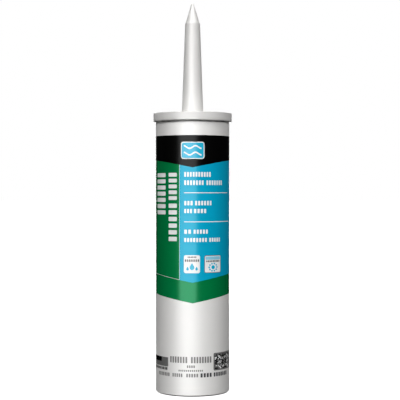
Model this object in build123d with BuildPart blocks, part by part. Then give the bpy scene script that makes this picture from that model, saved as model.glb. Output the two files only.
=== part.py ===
"""A caulk tube: a plastic barrel with a one-piece end cap and nozzle, filled with sealant and closed by a plunger.

It stands on the rim of its open end. The origin is the middle of that rim, +Z runs up the axis to the nozzle's tip,
and sizes are in millimetres.
"""

import os

from build123d import *

os.makedirs("parts", exist_ok=True)

# Barrel: one extruded tube, open at the bottom
barrel_diameter = 50.8
barrel_wall = 1.2
barrel_visible_length = 185.5  # from the bottom rim to the underside of the cap's flange
rim_edge_chamfer = 0.9  # where the tube was cut to length
cap_relief = 0.4  # the part of the stepped-in end that stays clear of the flange
cap_step = 0.3  # how far the end is stepped in, so that the flange's skirt grips it

# End cap: a flange with a skirt over the barrel's end and a plug wall inside it
flange_overhang = 1.7  # how far the flange stands out from the barrel
flange_height = 6.25
plate_thickness = 2.0
plug_depth = 8.0
plug_wall = 1.2
plug_lead_in = 0.5
weld_clearance = 0.05  # between the cap and the barrel's wall, on both sides of it
flange_top_radius = 0.4
flange_bottom_radius = 1.3

# Nozzle: moulded in one with the cap, hollow up to its closed tip
nozzle_base_diameter = 14.9
nozzle_top_diameter = 10.3
nozzle_length = 62.15  # from the flange to the shoulder below the tip
nozzle_wall = 1.2
nozzle_root_radius = 0.4
tip_step = 0.25  # the small shoulder where the tip starts
tip_end_diameter = 1.7
tip_length = 13.6
tip_edge_radius = 0.5
tip_solid_length = 4.0  # the bore stops this far below the tip's end
inlet_chamfer = 0.8

# Foil seal: heat-sealed under the plate, across the nozzle's inlet
foil_thickness = 0.15
foil_land = 3.0

# Plunger: a cup that opens downwards, with a raised crown, two wiping lips and stiffening ribs
plunger_recess = 6.0  # from the bottom rim up to the plunger's skirt
plunger_skirt_length = 12.0
plunger_wall = 1.4
plunger_body_clearance = 0.6
crown_height = 4.0
crown_clearance = 1.0  # between the crown and the cap's plug wall, at the end of the stroke
lip_clearance = 0.05
lip_height = 1.2
lip_slope = 0.8
hub_diameter = 12.0
rib_count = 8
rib_thickness = 1.2
rib_height = 5.0
stroke_clearance = 0.5  # left between the plunger and the plug wall at the end of the stroke

# Sealant: fills the barrel between the plunger and the cap
fill_clearance = 0.05
plunger_face_gap = 0.3

# Radii and heights that follow from the sizes above
barrel_radius = barrel_diameter / 2
bore_radius = barrel_radius - barrel_wall
stepped_radius = barrel_radius - cap_step
step_z = barrel_visible_length - cap_relief
flange_radius = barrel_radius + flange_overhang
skirt_inner_radius = stepped_radius + weld_clearance
flange_top_z = barrel_visible_length + flange_height
plate_z = flange_top_z - plate_thickness
plug_outer_radius = bore_radius - weld_clearance
plug_inner_radius = plug_outer_radius - plug_wall
plug_bottom_z = plate_z - plug_depth
shoulder_z = flange_top_z + nozzle_length
tip_z = shoulder_z + tip_length
nozzle_base_radius = nozzle_base_diameter / 2
nozzle_top_radius = nozzle_top_diameter / 2
tip_base_radius = nozzle_top_radius - tip_step
tip_end_radius = tip_end_diameter / 2
inlet_radius = nozzle_base_radius - nozzle_wall
bore_top_radius = tip_base_radius - nozzle_wall
bore_end_z = tip_z - tip_solid_length
tip_slope = (tip_base_radius - tip_end_radius) / tip_length
bore_end_radius = tip_end_radius + tip_slope * tip_solid_length - nozzle_wall
foil_radius = inlet_radius + inlet_chamfer + foil_land
foil_z = plate_z - foil_thickness
plunger_body_radius = bore_radius - plunger_body_clearance
lip_radius = bore_radius - lip_clearance
plunger_shoulder_z = plunger_recess + plunger_skirt_length
crown_radius = plug_inner_radius - crown_clearance
crown_z = plunger_shoulder_z + crown_height
cup_radius = plunger_body_radius - plunger_wall
crown_inner_radius = crown_radius - plunger_wall
hub_radius = hub_diameter / 2
rib_length = cup_radius + plunger_wall / 2  # from the axis to the middle of the skirt's wall
rib_bottom_z = plunger_shoulder_z - plunger_wall - rib_height
stroke = plug_bottom_z - plunger_shoulder_z - stroke_clearance

# The barrel, with its upper end stepped in for the cap and the outer edge of its bottom rim chamfered
with BuildPart() as barrel:
    with BuildSketch(Plane.XY):
        Circle(barrel_radius)
    extrude(amount=step_z)
    with BuildSketch(Plane.XY.offset(step_z)):
        Circle(stepped_radius)
    extrude(amount=plate_z - step_z)
    with BuildSketch(Plane.XY):
        Circle(bore_radius)
    extrude(amount=plate_z, mode=Mode.SUBTRACT)
    rim_edges = barrel.edges().filter_by(GeomType.CIRCLE).group_by(Axis.Z)[0]
    chamfer(rim_edges.sort_by(SortBy.RADIUS)[-1], rim_edge_chamfer)
barrel.part.label = "barrel"
export_step(barrel.part, "parts/barrel.step")

# The end cap and nozzle, turned from three sections: the cap, the nozzle on it, and the bore through both
with BuildPart() as nozzle_end:
    with BuildSketch(Plane.XZ):
        with BuildLine():
            Polyline(
                (0, flange_top_z),
                (flange_radius, flange_top_z),
                (flange_radius, barrel_visible_length),
                (skirt_inner_radius, barrel_visible_length),
                (skirt_inner_radius, plate_z),
                (plug_outer_radius, plate_z),
                (plug_outer_radius, plug_bottom_z + plug_lead_in),
                (plug_outer_radius - plug_lead_in, plug_bottom_z),
                (plug_inner_radius, plug_bottom_z),
                (plug_inner_radius, plate_z),
                (0, plate_z),
                close=True,
            )
        make_face()
    revolve(axis=Axis.Z)
    flange_edges = nozzle_end.edges().filter_by(GeomType.CIRCLE).group_by(SortBy.RADIUS)[-1]
    fillet(flange_edges.sort_by(Axis.Z)[0], flange_bottom_radius)
    flange_edges = nozzle_end.edges().filter_by(GeomType.CIRCLE).group_by(SortBy.RADIUS)[-1]
    fillet(flange_edges.sort_by(Axis.Z)[-1], flange_top_radius)
    with BuildSketch(Plane.XZ):
        with BuildLine():
            Polyline(
                (0, plate_z),
                (nozzle_base_radius, plate_z),
                (nozzle_base_radius, flange_top_z),
                (nozzle_top_radius, shoulder_z),
                (tip_base_radius, shoulder_z),
                (tip_end_radius, tip_z),
                (0, tip_z),
                close=True,
            )
        make_face()
    revolve(axis=Axis.Z)
    fillet(nozzle_end.edges().filter_by(GeomType.CIRCLE).sort_by(Axis.Z)[-1], tip_edge_radius)
    root_edges = nozzle_end.edges().filter_by(GeomType.CIRCLE)
    root_edges = root_edges.filter_by_position(Axis.Z, flange_top_z, flange_top_z)
    fillet(root_edges.sort_by(SortBy.RADIUS)[0], nozzle_root_radius)
    with BuildSketch(Plane.XZ):
        with BuildLine():
            Polyline(
                (0, plate_z),
                (inlet_radius + inlet_chamfer, plate_z),
                (inlet_radius, plate_z + inlet_chamfer),
                (bore_top_radius, shoulder_z),
                (bore_end_radius, bore_end_z),
                (0, bore_end_z),
                close=True,
            )
        make_face()
    revolve(axis=Axis.Z, mode=Mode.SUBTRACT)
nozzle_end.part.label = "nozzle_end"
export_step(nozzle_end.part, "parts/nozzle_end.step")

# The foil disc across the nozzle's inlet
with BuildPart() as foil_seal:
    with BuildSketch(Plane.XY.offset(foil_z)):
        Circle(foil_radius)
    extrude(amount=foil_thickness)
foil_seal.part.label = "foil_seal"
export_step(foil_seal.part, "parts/foil_seal.step")

# The sealant, from the plunger's shoulder and crown up to the cap's plate, inside the plug wall at its top
with BuildPart() as sealant:
    with BuildSketch(Plane.XZ):
        with BuildLine():
            Polyline(
                (0, crown_z + plunger_face_gap),
                (crown_radius + plunger_face_gap, crown_z + plunger_face_gap),
                (crown_radius + plunger_face_gap, plunger_shoulder_z + plunger_face_gap),
                (bore_radius - fill_clearance, plunger_shoulder_z + plunger_face_gap),
                (bore_radius - fill_clearance, plug_bottom_z - fill_clearance),
                (plug_inner_radius - fill_clearance, plug_bottom_z - fill_clearance),
                (plug_inner_radius - fill_clearance, foil_z - fill_clearance),
                (0, foil_z - fill_clearance),
                close=True,
            )
        make_face()
    revolve(axis=Axis.Z)
sealant.part.label = "sealant"
export_step(sealant.part, "parts/sealant.step")

# The plunger: its turned cup, then the hub and ribs under its face
lower_lip_z = plunger_recess
upper_lip_z = plunger_shoulder_z - lip_height
with BuildPart() as plunger:
    with BuildSketch(Plane.XZ):
        with BuildLine():
            Polyline(
                (0, crown_z),
                (crown_radius, crown_z),
                (crown_radius, plunger_shoulder_z),
                (lip_radius, plunger_shoulder_z),
                (lip_radius, upper_lip_z),
                (plunger_body_radius, upper_lip_z - lip_slope),
                (plunger_body_radius, lower_lip_z + lip_height + lip_slope),
                (lip_radius, lower_lip_z + lip_height),
                (lip_radius, lower_lip_z),
                (cup_radius, lower_lip_z),
                (cup_radius, plunger_shoulder_z - plunger_wall),
                (crown_inner_radius, plunger_shoulder_z - plunger_wall),
                (crown_inner_radius, crown_z - plunger_wall),
                (0, crown_z - plunger_wall),
                close=True,
            )
        make_face()
    revolve(axis=Axis.Z)
    with BuildSketch(Plane.XY.offset(rib_bottom_z)):
        Circle(hub_radius)
        with PolarLocations(0, rib_count):
            with Locations((rib_length / 2, 0)):
                Rectangle(rib_length, rib_thickness)
        Circle(hub_radius - plunger_wall, mode=Mode.SUBTRACT)
    extrude(until=Until.NEXT)
plunger.part.label = "plunger"
export_step(plunger.part, "parts/plunger.step")

print(f"height {tip_z:.1f} mm, sealant {sealant.part.volume / 1000:.0f} ml, plunger stroke {stroke:.1f} mm")
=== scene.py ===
import math

import bmesh
import bpy
from mathutils import Matrix, Vector


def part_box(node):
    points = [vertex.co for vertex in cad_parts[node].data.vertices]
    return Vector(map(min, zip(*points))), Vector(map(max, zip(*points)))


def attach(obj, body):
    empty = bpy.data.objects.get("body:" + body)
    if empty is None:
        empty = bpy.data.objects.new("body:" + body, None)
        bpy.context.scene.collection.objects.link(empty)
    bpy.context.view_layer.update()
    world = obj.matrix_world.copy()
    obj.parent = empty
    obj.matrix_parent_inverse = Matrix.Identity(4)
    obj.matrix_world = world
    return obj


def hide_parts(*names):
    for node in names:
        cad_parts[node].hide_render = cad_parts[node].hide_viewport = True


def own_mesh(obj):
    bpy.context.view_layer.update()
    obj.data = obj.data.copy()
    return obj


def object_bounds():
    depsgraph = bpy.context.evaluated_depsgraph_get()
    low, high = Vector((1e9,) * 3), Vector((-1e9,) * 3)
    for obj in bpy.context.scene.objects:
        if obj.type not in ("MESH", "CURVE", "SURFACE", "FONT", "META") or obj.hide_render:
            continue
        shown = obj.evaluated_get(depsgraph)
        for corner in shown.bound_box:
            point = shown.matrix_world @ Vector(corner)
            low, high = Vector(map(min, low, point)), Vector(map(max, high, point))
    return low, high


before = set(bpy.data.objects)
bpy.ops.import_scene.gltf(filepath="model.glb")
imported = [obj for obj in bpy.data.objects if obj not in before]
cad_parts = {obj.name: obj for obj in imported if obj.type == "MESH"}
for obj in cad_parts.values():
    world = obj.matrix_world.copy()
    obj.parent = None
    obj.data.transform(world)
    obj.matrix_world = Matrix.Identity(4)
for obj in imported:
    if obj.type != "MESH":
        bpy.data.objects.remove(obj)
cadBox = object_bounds()
mm = 0.001

cartridge = "cartridge_body"
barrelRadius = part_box("barrel")[1].x
crispEdge = math.radians(35)  # edges that bend more than this aren't smoothed over
print("frame loaded, barrel diameter", round(2 * barrelRadius / mm, 1), "mm")


# Colours, nodes and pieces

def linearColour(hexCode):
    values = [int(hexCode[i:i + 2], 16) / 255 for i in (1, 3, 5)]
    linear = [v / 12.92 if v <= 0.04045 else ((v + 0.055) / 1.055) ** 2.4 for v in values]
    return (*linear, 1.0)


def addNode(tree, kind, settings=None, links=None):
    node = tree.nodes.new(kind)
    for name, value in (settings or {}).items():
        if name in node.inputs:
            node.inputs[name].default_value = value
        else:
            setattr(node, name, value)
    for name, source in (links or {}).items():
        tree.links.new(source, node.inputs[name])
    return node


def newMaterial(name):
    material = bpy.data.materials.new(name)
    material.use_nodes = True
    material.node_tree.nodes.clear()
    return material, material.node_tree


def speckle(tree, width, stretch=1.0):
    # width of one speck in mm, drawn out along the tube by stretch
    place = addNode(tree, "ShaderNodeTexCoord")
    scaled = addNode(tree, "ShaderNodeMapping", {"Scale": (1, 1, 1 / stretch)},
                     {"Vector": place.outputs["Object"]})
    return addNode(tree, "ShaderNodeTexNoise", {"Scale": 1 / (width * mm), "Detail": 2.0},
                   {"Vector": scaled.outputs["Vector"]})


def colourBetween(tree, noise, first, second):
    return addNode(tree, "ShaderNodeMixRGB", {"Color1": linearColour(first), "Color2": linearColour(second)},
                   {"Fac": noise.outputs["Fac"]})


def relief(tree, noise, depth, normal=None):
    # depth in mm, laid over an earlier relief if there is one
    links = {"Height": noise.outputs["Fac"]}
    if normal:
        links["Normal"] = normal.outputs["Normal"]
    return addNode(tree, "ShaderNodeBump", {"Distance": depth * mm, "Strength": 1.0}, links)


def finishSurface(tree, shader):
    addNode(tree, "ShaderNodeOutputMaterial", None, {"Surface": shader.outputs["BSDF"]})


def newPiece(name, bm, material):
    mesh = bpy.data.meshes.new(name)
    bm.to_mesh(mesh)
    bm.free()
    mesh.materials.append(material)
    mesh.shade_smooth()
    mesh.set_sharp_from_angle(angle=crispEdge)
    piece = bpy.data.objects.new(name, mesh)
    bpy.context.scene.collection.objects.link(piece)
    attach(piece, cartridge)
    return piece


# Plastics, foil and paste, with widths and depths of their marks in mm

barrelFinish = {
    "colour": "#e5e4e2",
    "thinWall": "#e0dfdd",
    "cloud": 16.0,
    "cloudStretch": 4.0,
    "roughness": 0.5,
    "ior": 1.54,
    "coat": 1.0,
    "coatIor": 1.65,
    "coatRoughness": 0.48,
    "drawLine": 0.9,  # wider than real die lines, so that they show
    "drawStretch": 80.0,
    "drawDepth": 0.004,
    "grain": 0.25,
    "grainDepth": 0.003,
}


def extrudedPolyethylene():
    # HDPE drawn through a die: satin white, with faint lines that run along the tube
    material, tree = newMaterial("extrudedWhitePolyethylene")
    cloud = speckle(tree, barrelFinish["cloud"], barrelFinish["cloudStretch"])
    colour = colourBetween(tree, cloud, barrelFinish["colour"], barrelFinish["thinWall"])
    grain = relief(tree, speckle(tree, barrelFinish["grain"]), barrelFinish["grainDepth"])
    lines = speckle(tree, barrelFinish["drawLine"], barrelFinish["drawStretch"])
    drawn = relief(tree, lines, barrelFinish["drawDepth"], grain)
    shader = addNode(tree, "ShaderNodeBsdfPrincipled", {
        "Roughness": barrelFinish["roughness"],
        "IOR": barrelFinish["ior"],
        "Coat Weight": barrelFinish["coat"],
        "Coat IOR": barrelFinish["coatIor"],
        "Coat Roughness": barrelFinish["coatRoughness"],
    }, {"Base Color": colour.outputs["Color"], "Normal": drawn.outputs["Normal"]})
    finishSurface(tree, shader)
    return material


capFinish = {
    "colour": "#dddcda",
    "flow": "#d7d6d4",
    "flowMark": 9.0,
    "flowStretch": 2.5,
    "roughness": 0.42,
    "ior": 1.51,
    "coat": 0.35,
    "coatRoughness": 0.35,
    "ripple": 3.0,
    "rippleDepth": 0.01,
    "grain": 0.2,
    "grainDepth": 0.002,
}


def mouldedPolyethylene():
    # LDPE shot into a polished mould: smoother than the tube, with soft flow marks
    material, tree = newMaterial("mouldedWhitePolyethylene")
    flow = speckle(tree, capFinish["flowMark"], capFinish["flowStretch"])
    colour = colourBetween(tree, flow, capFinish["colour"], capFinish["flow"])
    grain = relief(tree, speckle(tree, capFinish["grain"]), capFinish["grainDepth"])
    ripple = relief(tree, speckle(tree, capFinish["ripple"]), capFinish["rippleDepth"], grain)
    shader = addNode(tree, "ShaderNodeBsdfPrincipled", {
        "Roughness": capFinish["roughness"],
        "IOR": capFinish["ior"],
        "Coat Weight": capFinish["coat"],
        "Coat Roughness": capFinish["coatRoughness"],
    }, {"Base Color": colour.outputs["Color"], "Normal": ripple.outputs["Normal"]})
    finishSurface(tree, shader)
    return material


plungerFinish = {
    "colour": "#d3d6d4",
    "thick": "#c4c8c6",
    "flowMark": 6.0,
    "roughness": 0.48,
    "ior": 1.53,
    "milkiness": 0.15,
    "milkDepth": 1.5,
    "sinkMark": 5.0,
    "sinkDepth": 0.03,
    "grain": 0.3,
    "grainDepth": 0.006,
}


def naturalPolyethylene():
    # undyed HDPE: milky, a little see-through at its edges, matt from the mould
    material, tree = newMaterial("mouldedNaturalPolyethylene")
    flow = speckle(tree, plungerFinish["flowMark"])
    colour = colourBetween(tree, flow, plungerFinish["colour"], plungerFinish["thick"])
    grain = relief(tree, speckle(tree, plungerFinish["grain"]), plungerFinish["grainDepth"])
    sink = relief(tree, speckle(tree, plungerFinish["sinkMark"]), plungerFinish["sinkDepth"], grain)
    shader = addNode(tree, "ShaderNodeBsdfPrincipled", {
        "Roughness": plungerFinish["roughness"],
        "IOR": plungerFinish["ior"],
        "Subsurface Weight": plungerFinish["milkiness"],
        "Subsurface Scale": plungerFinish["milkDepth"] * mm,
    }, {"Base Color": colour.outputs["Color"], "Normal": sink.outputs["Normal"]})
    finishSurface(tree, shader)
    return material


foilFinish = {
    "metal": "#dfe0e1",
    "rolled": "#c9cacc",
    "toneMark": 2.0,
    "roughness": 0.3,
    "rollLine": 0.12,
    "rollDepth": 0.004,
    "wrinkle": 3.5,
    "wrinkleDepth": 0.12,
}


def heatSealedFoil():
    # rolled aluminium, ironed on by the sealing head: bright, softly puckered
    material, tree = newMaterial("heatSealedAluminiumFoil")
    tone = speckle(tree, foilFinish["toneMark"])
    colour = colourBetween(tree, tone, foilFinish["metal"], foilFinish["rolled"])
    rolled = relief(tree, speckle(tree, foilFinish["rollLine"]), foilFinish["rollDepth"])
    pucker = relief(tree, speckle(tree, foilFinish["wrinkle"]), foilFinish["wrinkleDepth"], rolled)
    shader = addNode(tree, "ShaderNodeBsdfPrincipled", {
        "Metallic": 1.0,
        "Roughness": foilFinish["roughness"],
    }, {"Base Color": colour.outputs["Color"], "Normal": pucker.outputs["Normal"]})
    finishSurface(tree, shader)
    return material


pasteFinish = {
    "colour": "#f1f0ea",
    "shade": "#e8e6de",
    "toneMark": 7.0,
    "roughness": 0.22,
    "ior": 1.47,
    "milkiness": 0.2,
    "milkDepth": 1.0,
    "dragMark": 1.6,
    "dragDepth": 0.08,
}


def acrylicPaste():
    # wet acrylic caulk: white, buttery and shiny, with soft drag marks
    material, tree = newMaterial("wetAcrylicCaulk")
    body = speckle(tree, pasteFinish["toneMark"])
    colour = colourBetween(tree, body, pasteFinish["colour"], pasteFinish["shade"])
    drag = relief(tree, speckle(tree, pasteFinish["dragMark"]), pasteFinish["dragDepth"])
    shader = addNode(tree, "ShaderNodeBsdfPrincipled", {
        "Roughness": pasteFinish["roughness"],
        "IOR": pasteFinish["ior"],
        "Subsurface Weight": pasteFinish["milkiness"],
        "Subsurface Scale": pasteFinish["milkDepth"] * mm,
    }, {"Base Color": colour.outputs["Color"], "Normal": drag.outputs["Normal"]})
    finishSurface(tree, shader)
    return material


inkFilm = {
    "ior": 1.5,
    "mottle": 1.4,
    "mottleStretch": 1.5,
    "peel": 0.6,  # wider than the print screen's mesh, so that it shows
    "depth": 0.003,
}


inkRecipes = {  # worn is the colour where the film is thin
    "green": {"colour": "#00763f", "worn": "#00713c", "sheen": "#9cffd0", "gloss": 0.6},
    "blue": {"colour": "#04a6cc", "worn": "#04a1c7", "sheen": "#bcfaff"},
    "black": {"colour": "#020202", "worn": "#050505", "roughness": 0.24, "gloss": 0.14},
    "white": {"colour": "#f4f5f4", "worn": "#ebecec"},
    "grey": {"colour": "#7c7b7a", "worn": "#757473", "roughness": 0.3},
    "steelGrey": {"colour": "#6b6b6a", "worn": "#646463", "roughness": 0.3},
    "charcoal": {"colour": "#3a3b3d", "worn": "#434446", "roughness": 0.3},
    "cyan": {"colour": "#18b4d8", "worn": "#14abd0"},
    "paleBlue": {"colour": "#8fcfe6", "worn": "#86c9e2"},
}


def screenInk(name, colour, worn, sheen="#ffffff", roughness=0.22, gloss=0.5):
    # UV-cured screen ink: a glossy even film, a touch thin where the screen's mesh left it
    material, tree = newMaterial(name)
    mottle = speckle(tree, inkFilm["mottle"], inkFilm["mottleStretch"])
    tone = colourBetween(tree, mottle, colour, worn)
    peel = relief(tree, speckle(tree, inkFilm["peel"]), inkFilm["depth"])
    lines = speckle(tree, barrelFinish["drawLine"], barrelFinish["drawStretch"])
    drawn = relief(tree, lines, inkFilm["depth"], peel)
    shader = addNode(tree, "ShaderNodeBsdfPrincipled", {
        "Roughness": roughness,
        "IOR": inkFilm["ior"],
        "Specular IOR Level": gloss,
        "Specular Tint": linearColour(sheen),
    }, {"Base Color": tone.outputs["Color"], "Normal": drawn.outputs["Normal"]})
    finishSurface(tree, shader)
    return material


nodeMaterials = {
    "barrel": extrudedPolyethylene(),
    "nozzle_end": mouldedPolyethylene(),
    "plunger": naturalPolyethylene(),
    "foil_seal": heatSealedFoil(),
}
for nodeName, nodeMaterial in nodeMaterials.items():
    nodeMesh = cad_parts[nodeName].data
    nodeMesh.materials.clear()
    nodeMesh.materials.append(nodeMaterial)

pasteMaterial = acrylicPaste()
ink = {name: screenInk(name + "ScreenInk", **recipe) for name, recipe in inkRecipes.items()}
print("materials ready")


# Print films, which lie on the barrel in thin layers

film = {
    "lift": 0.008,  # mm, the first film above the barrel
    "thickness": 0.02,
    "layerStep": 0.032,
    "smallestEdge": 0.004,  # shorter edges are merged away
    "column": 2.0,  # degrees between upright edges, so that films follow the round
    "edgeRise": 5.15,  # how far the slanting edges climb from front to side
    "register": 0.28,  # how far up the barrel the whole artwork sits
}
filmSlope = film["edgeRise"] * mm / barrelRadius


def layerRadius(layer):
    return barrelRadius + (film["lift"] + layer * film["layerStep"]) * mm


def printHeight(height):
    return (height + film["register"]) * mm


def thicken(bm):
    # from one sheet on the barrel to a closed film with its faces outwards
    bmesh.ops.remove_doubles(bm, verts=bm.verts, dist=film["smallestEdge"] * mm)
    bmesh.ops.dissolve_degenerate(bm, dist=film["smallestEdge"] * mm, edges=bm.edges)
    bm.normal_update()
    inward = [f for f in bm.faces if f.normal.dot(f.calc_center_median() * Vector((1, 1, 0))) < 0]
    bmesh.ops.reverse_faces(bm, faces=inward)
    bmesh.ops.solidify(bm, geom=bm.faces[:], thickness=-film["thickness"] * mm)
    bmesh.ops.reverse_faces(bm, faces=bm.faces)


def cutBy(bm, height, slope, keep):
    # a slanting plane through the front of the barrel, keeping what is above or below it
    geometry = bm.verts[:] + bm.edges[:] + bm.faces[:]
    bmesh.ops.bisect_plane(bm, geom=geometry, plane_co=(0, 0, printHeight(height)), plane_no=(-slope, 0, 1),
                           clear_inner=keep == "above", clear_outer=keep == "below")


def printBand(name, material, layer, turn, heights, cuts):
    # turn holds the degrees from the front where the band starts and ends
    radius = layerRadius(layer)
    start = math.radians(turn[0])
    swept = turn[1] - turn[0]
    bm = bmesh.new()
    ends = [bm.verts.new((radius * math.sin(start), -radius * math.cos(start), printHeight(h)))
            for h in heights]
    upright = bm.edges.new(ends)
    bmesh.ops.spin(bm, geom=[*ends, upright], axis=(0, 0, 1), cent=(0, 0, 0), angle=math.radians(swept),
                   steps=max(1, round(swept / film["column"])), use_merge=swept == 360)
    for cut in cuts:
        cutBy(bm, *cut)
    thicken(bm)
    newPiece(name, bm, material)


panel = {
    "top": 175.6,
    "blueTop": 171.6,  # under the black band
    "bandPoint": 153.95,  # height of the downward points, in mm
    "bluePoint": 76.5,
    "greenPoint": 62.65,
    "divider": -20.1,  # degrees from the front
    "dividerWidth": 0.42,
    "trim": 0.22,
    "deepest": 60.0,
}
bothEdges = (filmSlope, -filmSlope)
wholeTurn = (-180, 180)
wholeHeight = (panel["deepest"], panel["top"])
printBand("print_green_field", ink["green"], 0, wholeTurn, wholeHeight,
          [(panel["greenPoint"], slope, "above") for slope in bothEdges])
printBand("print_blue_panel", ink["blue"], 1, (panel["divider"], 180), (panel["deepest"], panel["blueTop"]),
          [(panel["bluePoint"], slope, "above") for slope in bothEdges])
printBand("print_black_band", ink["black"], 2, wholeTurn, wholeHeight,
          [(panel["bandPoint"], slope, "above") for slope in bothEdges])
printBand("print_left_trim", ink["white"], 1, (-180, panel["divider"]), wholeHeight,
          [(panel["bluePoint"], -filmSlope, "above"),
           (panel["bluePoint"] + panel["trim"], -filmSlope, "below")])
printBand("print_divider_line", ink["white"], 2,
          (panel["divider"] - panel["dividerWidth"], panel["divider"]), wholeHeight,
          [(panel["bluePoint"], -filmSlope, "above"),
           (panel["bandPoint"], -filmSlope, "below")])
print("colour fields printed")


# Small shapes are laid out flat in mm, across from the front and up from the rim, then wrapped round

def flatBlock(bm, left, right, low, high, corner):
    width = right - left
    height = high - low
    place = Matrix.Translation((left + width / 2, low + height / 2, 0))
    size = Matrix.Diagonal((width, height, 1, 1))
    made = bmesh.ops.create_grid(bm, x_segments=1, y_segments=1, size=0.5, matrix=place @ size)
    cornerSize = min(corner, 0.49 * width, 0.49 * height)  # so that two corners never meet
    if cornerSize > 0:
        bmesh.ops.bevel(bm, geom=made["verts"], offset=cornerSize, segments=3, profile=0.5,
                        affect="VERTICES", material=-1)


def flatDisc(bm, across, up, radius, sides=20):
    place = Matrix.Translation((across, up, 0))
    return bmesh.ops.create_circle(bm, cap_ends=True, segments=sides, radius=radius, matrix=place)["verts"]


def splitColumns(bm, step):
    # upright cuts every step, so that a flat shape can bend
    places = [v.co.x for v in bm.verts]
    for column in range(math.ceil(min(places) / step), math.floor(max(places) / step) + 1):
        geometry = bm.verts[:] + bm.edges[:] + bm.faces[:]
        bmesh.ops.bisect_plane(bm, geom=geometry, plane_co=(column * step, 0, 0), plane_no=(1, 0, 0))


def wrapOnBarrel(name, bm, material, layer):
    bmesh.ops.scale(bm, vec=(mm, mm, mm), verts=bm.verts)
    splitColumns(bm, math.radians(film["column"]) * barrelRadius)
    radius = layerRadius(layer)
    for v in bm.verts:
        angle = v.co.x / barrelRadius
        v.co = (radius * math.sin(angle), -radius * math.cos(angle), v.co.y + film["register"] * mm)
    thicken(bm)
    newPiece(name, bm, material)


# Words are left as rows of plain blocks

textStyle = {
    "pitch": 1.85,  # mm from one block to the next
    "filled": 0.66,  # share of the pitch
    "tall": 0.9,  # share of the height between two lines
    "corner": 0.3,
    "uprightPitch": 4.0,
    "uprightCorner": 0.6,
}


def blockPlaces(start, end, pitch):
    # where each block starts and ends, with the last one flush with the word's end
    count = max(1, round((end - start) / pitch))
    step = (end - start) / (count - 1 + textStyle["filled"])
    return [(start + i * step, start + i * step + step * textStyle["filled"]) for i in range(count)]


def printFlat(name, material, layer, blocks=(), lines=()):
    # a block has its left, right, low and high sides and its corner radius
    # a line has its foot and head, its pitch, and where each of its words starts and ends
    bm = bmesh.new()
    for block in blocks:
        flatBlock(bm, *block)
    for low, high, pitch, words in lines:
        inset = (1 - textStyle["tall"]) * (high - low) / 2
        for word in words:
            for left, right in blockPlaces(*word, pitch):
                flatBlock(bm, left, right, low + inset, high - inset, textStyle["corner"])
    wrapOnBarrel(name, bm, material, layer)


blueWords = {
    "lines": [
        (147.4, 151.0, textStyle["pitch"], [(-5.6, 12.7)]),
        (141.9, 145.4, textStyle["pitch"], [(-5.6, 7.5), (9.5, 22.6)]),
        (128.3, 131.6, textStyle["pitch"], [(-5.6, 0.0), (1.7, 13.3)]),
        (123.1, 126.2, textStyle["pitch"], [(-5.6, -0.4), (1.0, 9.3)]),
        (109.2, 112.3, textStyle["pitch"], [(-5.6, -1.1), (0.7, 10.5)]),
        (103.7, 106.7, textStyle["pitch"], [(-5.6, 9.8), (11.6, 20.6)]),
    ],
    "rules": [
        (-5.7, 30.0, 136.65, 137.15, 0.1),
        (-5.7, 32.0, 117.15, 117.65, 0.1),
    ],
}
printFlat("print_blue_panel_words", ink["white"], 2, lines=blueWords["lines"])
printFlat("print_blue_panel_rules", ink["white"], 2, blueWords["rules"])

uprightWords = [  # left and right side of the column, then where each word starts and ends
    (-31.7, -19.7, [(122.2, 150.2)]),
    (-17.9, -10.5, [(104.3, 129.6), (132.0, 150.3)]),
]
bm = bmesh.new()
for left, right, words in uprightWords:
    inset = (1 - textStyle["tall"]) * (right - left) / 2
    for word in words:
        for low, high in blockPlaces(*word, textStyle["uprightPitch"]):
            flatBlock(bm, left + inset, right - inset, low, high, textStyle["uprightCorner"])
wrapOnBarrel("print_upright_words", bm, ink["white"], 1)
print("words blocked in")


# A plain panel with two waves where a maker's sign would be

wavePanel = {
    "edge": (-7.9, 8.1, 159.6, 171.1, 1.6),
    "field": (-7.3, 7.5, 160.2, 170.5, 1.1),
    "left": -5.9,
    "right": 6.1,
    "levels": (163.15, 167.55),
    "waveHeight": 1.1,
    "waveCorner": 0.5,
    "waveSwing": 0.9,
    "waveLength": 8.0,
    "waveStep": 0.4,
}
printFlat("print_wave_panel_edge", ink["white"], 3, [wavePanel["edge"]])
printFlat("print_wave_panel", ink["cyan"], 4, [wavePanel["field"]])
bm = bmesh.new()
for level in wavePanel["levels"]:
    flatBlock(bm, wavePanel["left"], wavePanel["right"], level - wavePanel["waveHeight"] / 2,
              level + wavePanel["waveHeight"] / 2, wavePanel["waveCorner"])
splitColumns(bm, wavePanel["waveStep"])
for v in bm.verts:
    v.co.y += wavePanel["waveSwing"] * math.sin(2 * math.pi * v.co.x / wavePanel["waveLength"])
wrapOnBarrel("print_wave_lines", bm, ink["white"], 5)


# Two small pictures at the foot of the blue panel

waterTile = {
    "tile": (-5.9, 5.0, 82.9, 95.0, 1.2),
    "lines": [
        (93.0, 94.3, 1.0, [(-3.3, 2.4)]),
        (90.4, 92.3, 1.2, [(-5.1, 4.4)]),
    ],
    "drops": [(-0.4, 86.6, 1.6), (-3.4, 85.6, 0.9), (2.7, 85.6, 0.9)],  # middle and radius
    "tipRise": 0.9,  # share of the radius that a drop's tip is drawn up
    "tipPinch": 0.5,
}
printFlat("print_water_tile", ink["white"], 2, [waterTile["tile"]])
printFlat("print_water_tile_words", ink["charcoal"], 3, lines=waterTile["lines"])
bm = bmesh.new()
for across, up, radius in waterTile["drops"]:
    for v in flatDisc(bm, across, up, radius):
        above = max(0.0, (v.co.y - up) / radius)
        v.co.y += waterTile["tipRise"] * radius * above ** 3
        v.co.x -= (v.co.x - across) * waterTile["tipPinch"] * above ** 3
wrapOnBarrel("print_water_drops", bm, ink["cyan"], 3)

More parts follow.
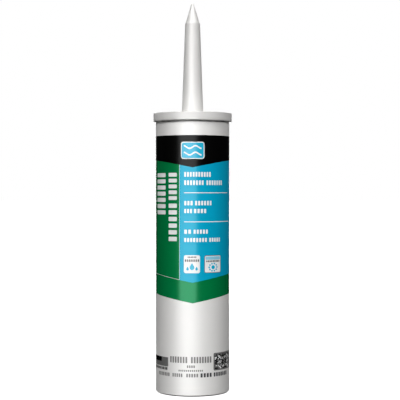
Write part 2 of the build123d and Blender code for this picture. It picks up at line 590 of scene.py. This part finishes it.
ringTile = {
    "edge": (8.0, 21.3, 82.9, 94.8, 1.2),
    "tile": (8.35, 20.95, 83.25, 94.45, 0.9),
    "header": (8.8, 20.5, 91.8, 94.0, 0.5),
    "lines": [(90.1, 91.5, 1.2, [(9.4, 20.0)])],
    "middle": (14.6, 86.7),
    "dots": 10,
    "ringAcross": 3.1,  # half the ring's width
    "ringUp": 2.5,
    "dotRadius": 0.62,
    "discRadius": 1.4,
}
printFlat("print_ring_tile_edge", ink["charcoal"], 2, [ringTile["edge"]])
printFlat("print_ring_tile", ink["white"], 3, [ringTile["tile"]])
printFlat("print_ring_tile_header", ink["paleBlue"], 4, [ringTile["header"]])
bm = bmesh.new()
across, up = ringTile["middle"]
for i in range(ringTile["dots"]):
    angle = 2 * math.pi * i / ringTile["dots"]
    dotAcross = across + ringTile["ringAcross"] * math.cos(angle)
    dotUp = up + ringTile["ringUp"] * math.sin(angle)
    flatDisc(bm, dotAcross, dotUp, ringTile["dotRadius"], sides=12)
flatDisc(bm, across, up, ringTile["discRadius"])
wrapOnBarrel("print_ring_of_dots", bm, ink["cyan"], 4)
printFlat("print_ring_tile_words", ink["charcoal"], 4, lines=ringTile["lines"])
print("panel pictures printed")


# Small print at the foot of the barrel

footPrint = {
    "patches": [
        (-37.8, -18.0, 19.4, 25.6, 0.2),
        (15.0, 35.4, 16.8, 28.7, 0.9),
    ],
    "darkPatch": (-37.8, -24.6, 22.4, 25.6, 0.2),
    "patchWords": [(16.9, 19.0, 1.6, [(-36.0, -18.7)])],
    "headings": [
        (22.2, 26.9, 1.9, [(-16.2, -3.6), (-1.1, 13.2)]),
        (16.6, 18.0, 1.3, [(-9.7, 7.0)]),
        (12.8, 15.5, 1.5, [(-28.0, -16.8), (-14.3, -7.0), (-4.3, 3.7)]),
    ],
    "smallWords": [(19.1, 21.1, 1.3, [(-3.8, 1.5)])],
    "boldWords": [(12.6, 15.7, 1.9, [(5.4, 13.4), (15.2, 28.8)])],
}
printFlat("print_foot_patches", ink["steelGrey"], 0, footPrint["patches"])
printFlat("print_foot_marks", ink["black"], 1, [footPrint["darkPatch"]], footPrint["patchWords"])
printFlat("print_foot_headings", ink["grey"], 0, lines=footPrint["headings"])
printFlat("print_foot_small_words", ink["grey"], 0, lines=footPrint["smallWords"])
printFlat("print_foot_bold_words", ink["charcoal"], 0, lines=footPrint["boldWords"])

mosaic = {
    "left": 16.0,
    "low": 17.8,
    "module": 0.9,
    "filled": 0.94,  # share of the module
    "across": 20,
    "up": 11,
}
mosaicInks = {  # the draws that each ink takes; the others stay bare
    "print_foot_mosaic_dark": ("black", range(0, 5)),
    "print_foot_mosaic_light": ("white", range(9, 11)),
}


def scatter(column, row):
    # a made-up sum that gives each square a draw from 0 to 10
    return (3 * column * column + 7 * row + 5 * column * row + row * row) % 11


for name, (colour, draws) in mosaicInks.items():
    squares = []
    for row in range(mosaic["up"]):
        for column in range(mosaic["across"]):
            if scatter(column, row) in draws:
                left = mosaic["left"] + column * mosaic["module"]
                low = mosaic["low"] + row * mosaic["module"]
                side = mosaic["module"] * mosaic["filled"]
                squares.append((left, left + side, low, low + side, 0))
    printFlat(name, ink[colour], 1, squares)
print("foot print done")


# Caulk inside the barrel, which the plunger drives up

caulk = {
    "clearance": 1.3,  # mm inside the bore, so that it still fits behind the cap's plug
    "dent": 4.0,  # the plunger's crown pushes in this far
    "dentRadius": 22.0,
    "endGap": 0.05,
    "edgeRound": 0.4,
    "roundPast": 57,  # degrees of bend that make an edge a round one
    "kept": 0.024,  # share of its height left when the plunger is home
    "turns": 72,
}
sealantLow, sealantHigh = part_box("sealant")
caulkRadius = sealantHigh.x - caulk["clearance"] * mm
caulkLow = sealantLow.z + caulk["endGap"] * mm
caulkHigh = sealantHigh.z - caulk["endGap"] * mm
bm = bmesh.new()
bmesh.ops.create_cone(bm, cap_ends=True, segments=caulk["turns"], radius1=caulkRadius, radius2=caulkRadius,
                      depth=caulkHigh - caulkLow,
                      matrix=Matrix.Translation((0, 0, (caulkLow + caulkHigh) / 2)))
floorFace = min((f for f in bm.faces if len(f.verts) > 4), key=lambda f: f.calc_center_median().z)
bmesh.ops.inset_region(bm, faces=[floorFace], thickness=caulkRadius - caulk["dentRadius"] * mm)
bmesh.ops.translate(bm, verts=floorFace.verts, vec=(0, 0, caulk["dent"] * mm))
sharpest = math.radians(caulk["roundPast"])
roundEdges = [e for e in bm.edges if len(e.link_faces) == 2 and e.calc_face_angle() > sharpest]
bmesh.ops.bevel(bm, geom=roundEdges, offset=caulk["edgeRound"] * mm, segments=2, profile=0.5,
                affect="EDGES", material=-1)
bmesh.ops.recalc_face_normals(bm, faces=bm.faces)
caulkPiece = newPiece("caulk_fill", bm, pasteMaterial)
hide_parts("sealant")
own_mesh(caulkPiece)
print("barrel filled")


# Studio

cameraSetup = {
    "place": (0.0, -0.818, 0.139),
    "aim": (0.00513, 0.0, 0.1321),
    "lens": 106.4,
    "sensor": 36.0,
}
cameraData = bpy.data.cameras.new("camera")
cameraData.lens = cameraSetup["lens"]
cameraData.sensor_width = cameraSetup["sensor"]
camera = bpy.data.objects.new("camera", cameraData)
bpy.context.scene.collection.objects.link(camera)
camera.location = cameraSetup["place"]
lookAt = Vector(cameraSetup["aim"]) - Vector(cameraSetup["place"])
camera.rotation_euler = lookAt.to_track_quat("-Z", "Y").to_euler()
bpy.context.scene.camera = camera
bpy.context.scene.view_settings.view_transform = "Standard"

lightDistance = 6.0
softboxes = {  # degrees round from the camera, degrees wide, lowest and highest degrees up, strength
    "left_softbox": (-30.0, 30.0, 32.0, 60.0, 45.0),
    "right_softbox": (30.0, 30.0, 24.0, 52.0, 33.0),
    "back_softbox": (180.0, 22.0, -20.0, 20.0, 24.0),
}
reflectors = {  # a low card that only shows in the glossy print and the satin plastic
    "key_card": (-15.0, 54.0, -17.0, 26.0, 14.0),
}
sideFills = {  # light for the back and the sides, soft enough to leave no shine
    "left_fill": (-140.0, 20.0, -20.0, 20.0, 8.0),
    "right_fill": (140.0, 20.0, -20.0, 20.0, 8.0),
}


def placeLight(name, turn, wide, lowest, highest, strength):
    foot, top = [lightDistance * math.tan(math.radians(up)) for up in (lowest, highest)]
    data = bpy.data.lights.new(name, "AREA")
    data.shape = "RECTANGLE"
    data.size = 2 * lightDistance * math.tan(math.radians(wide / 2))
    data.size_y = top - foot
    data.energy = strength * data.size * data.size_y
    light = bpy.data.objects.new(name, data)
    bpy.context.scene.collection.objects.link(light)
    around = math.radians(turn)
    middle = cadBox[1][2] / 2 + (foot + top) / 2
    light.location = (lightDistance * math.sin(around), -lightDistance * math.cos(around), middle)
    light.rotation_euler = (math.radians(90), 0, around)
    light.visible_camera = False
    return light


for lightName, settings in softboxes.items():
    placeLight(lightName, *settings)
for lightName, settings in reflectors.items():
    placeLight(lightName, *settings).visible_diffuse = False
for lightName, settings in sideFills.items():
    placeLight(lightName, *settings).visible_glossy = False

# The room looks white, but lights the tube only faintly and from above

roomLight = {
    "sky": 0.04,
    "ground": 0.0,
    "fadeFrom": -0.1,
    "fadeTo": 0.4,
}
world = bpy.data.worlds.new("paleStudio")
bpy.context.scene.world = world
world.use_nodes = True
room = world.node_tree
room.nodes.clear()
rays = addNode(room, "ShaderNodeLightPath")
direction = addNode(room, "ShaderNodeTexCoord")
split = addNode(room, "ShaderNodeSeparateXYZ", None, {"Vector": direction.outputs["Generated"]})
level = addNode(room, "ShaderNodeMapRange", {
    "From Min": roomLight["fadeFrom"],
    "From Max": roomLight["fadeTo"],
    "To Min": roomLight["ground"],
    "To Max": roomLight["sky"],
}, {"Value": split.outputs["Z"]})
backdrop = addNode(room, "ShaderNodeBackground", {"Color": (1, 1, 1, 1), "Strength": 1.0})
bounce = addNode(room, "ShaderNodeBackground", {"Color": (1, 1, 1, 1)},
                 {"Strength": level.outputs["Result"]})
seen = addNode(room, "ShaderNodeMixShader", None, {
    0: rays.outputs["Is Camera Ray"],
    1: bounce.outputs[0],
    2: backdrop.outputs[0],
})
addNode(room, "ShaderNodeOutputWorld", None, {"Surface": seen.outputs[0]})

floorPaint = {
    "size": 30.0,
    "colour": "#8f8f8f",
    "worn": "#8b8b8b",
    "mottle": 60.0,
    "roughness": 0.9,
    "glow": 1.0,
}


def paintedFloor():
    # matt white studio floor, lit evenly so that it runs into the backdrop
    material, tree = newMaterial("paintedStudioFloor")
    tone = colourBetween(tree, speckle(tree, floorPaint["mottle"]), floorPaint["colour"], floorPaint["worn"])
    shader = addNode(tree, "ShaderNodeBsdfPrincipled", {
        "Roughness": floorPaint["roughness"],
        "Emission Color": (1, 1, 1, 1),
        "Emission Strength": floorPaint["glow"],
    }, {"Base Color": tone.outputs["Color"]})
    finishSurface(tree, shader)
    return material


floorMesh = bpy.data.meshes.new("studio_floor")
bm = bmesh.new()
bmesh.ops.create_grid(bm, x_segments=1, y_segments=1, size=floorPaint["size"] / 2)
bm.to_mesh(floorMesh)
bm.free()
floorMesh.materials.append(paintedFloor())
floor = bpy.data.objects.new("studio_floor", floorMesh)
bpy.context.scene.collection.objects.link(floor)
floor.visible_diffuse = False
floor.visible_glossy = False
floor.visible_shadow = False
print("studio lit")
